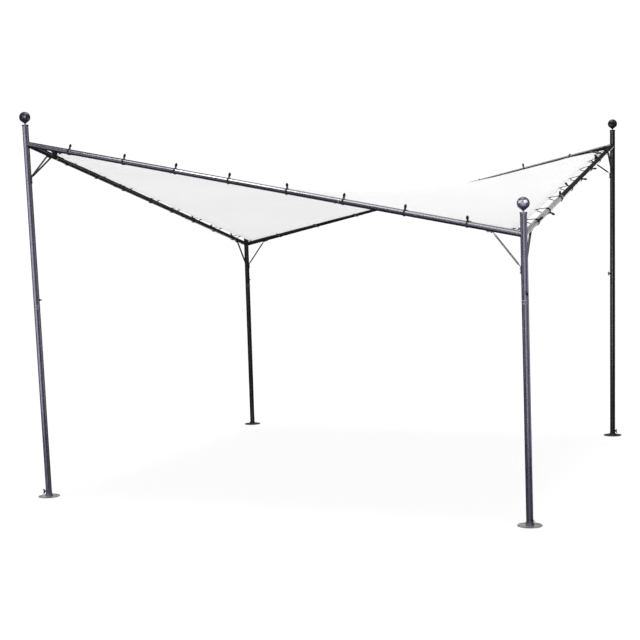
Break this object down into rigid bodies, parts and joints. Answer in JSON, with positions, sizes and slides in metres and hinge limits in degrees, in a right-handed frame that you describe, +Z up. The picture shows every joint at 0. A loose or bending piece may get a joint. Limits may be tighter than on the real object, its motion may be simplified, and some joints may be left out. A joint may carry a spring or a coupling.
{
  "type": "garden gazebo",
  "caption": "Square garden gazebo with round tube posts of two heights, sloping tube beams, ball finials and a white fabric sail stretched in a saddle shape.",
  "frame": {"origin": "on the ground at the middle of the four corners", "axes": "+Z up, -Y towards the front side; the front left (-X -Y) and back right (+X +Y) corners are the high ones"},
  "size_m": [3.755, 3.755, 2.7973],
  "materials": {
    "anthracite_paint": "satin powder coat, anthracite with a violet tint",
    "anthracite_gloss": "glossy powder coat, anthracite",
    "dark_steel": "satin black",
    "grey_steel": "dull grey coating",
    "black_webbing": "woven black webbing",
    "white_sailcloth": "matt white woven polyester"
  },
  "bodies": {
    "root": {"foot_front_left": "grey_steel", "lower_post_front_left": "anthracite_paint", "upper_post_front_left": "anthracite_paint", "finial_front_left": "anthracite_gloss", "brace_front_left_front": "dark_steel", "brace_front_left_left": "dark_steel", "corner_strap_front_left": "black_webbing", "foot_front_right": "grey_steel", "lower_post_front_right": "anthracite_paint", "upper_post_front_right": "anthracite_paint", "finial_front_right": "anthracite_gloss", "brace_front_right_front": "dark_steel", "brace_front_right_right": "dark_steel", "corner_hook_front_right": "dark_steel", "foot_back_left": "grey_steel", "lower_post_back_left": "anthracite_paint", "upper_post_back_left": "anthracite_paint", "finial_back_left": "anthracite_gloss", "brace_back_left_left": "dark_steel", "brace_back_left_back": "dark_steel", "corner_hook_back_left": "dark_steel", "foot_back_right": "grey_steel", "lower_post_back_right": "anthracite_paint", "upper_post_back_right": "anthracite_paint", "finial_back_right": "anthracite_gloss", "brace_back_right_back": "dark_steel", "brace_back_right_right": "dark_steel", "corner_strap_back_right": "black_webbing", "beam_front_low": "anthracite_paint", "beam_front_middle": "anthracite_paint", "beam_front_high": "anthracite_paint", "beam_left_low": "anthracite_paint", "beam_left_middle": "anthracite_paint", "beam_left_high": "anthracite_paint", "beam_back_low": "anthracite_paint", "beam_back_middle": "anthracite_paint", "beam_back_high": "anthracite_paint", "beam_right_low": "anthracite_paint", "beam_right_middle": "anthracite_paint", "beam_right_high": "anthracite_paint", "canopy": "white_sailcloth"}
  },
  "joints": []
}
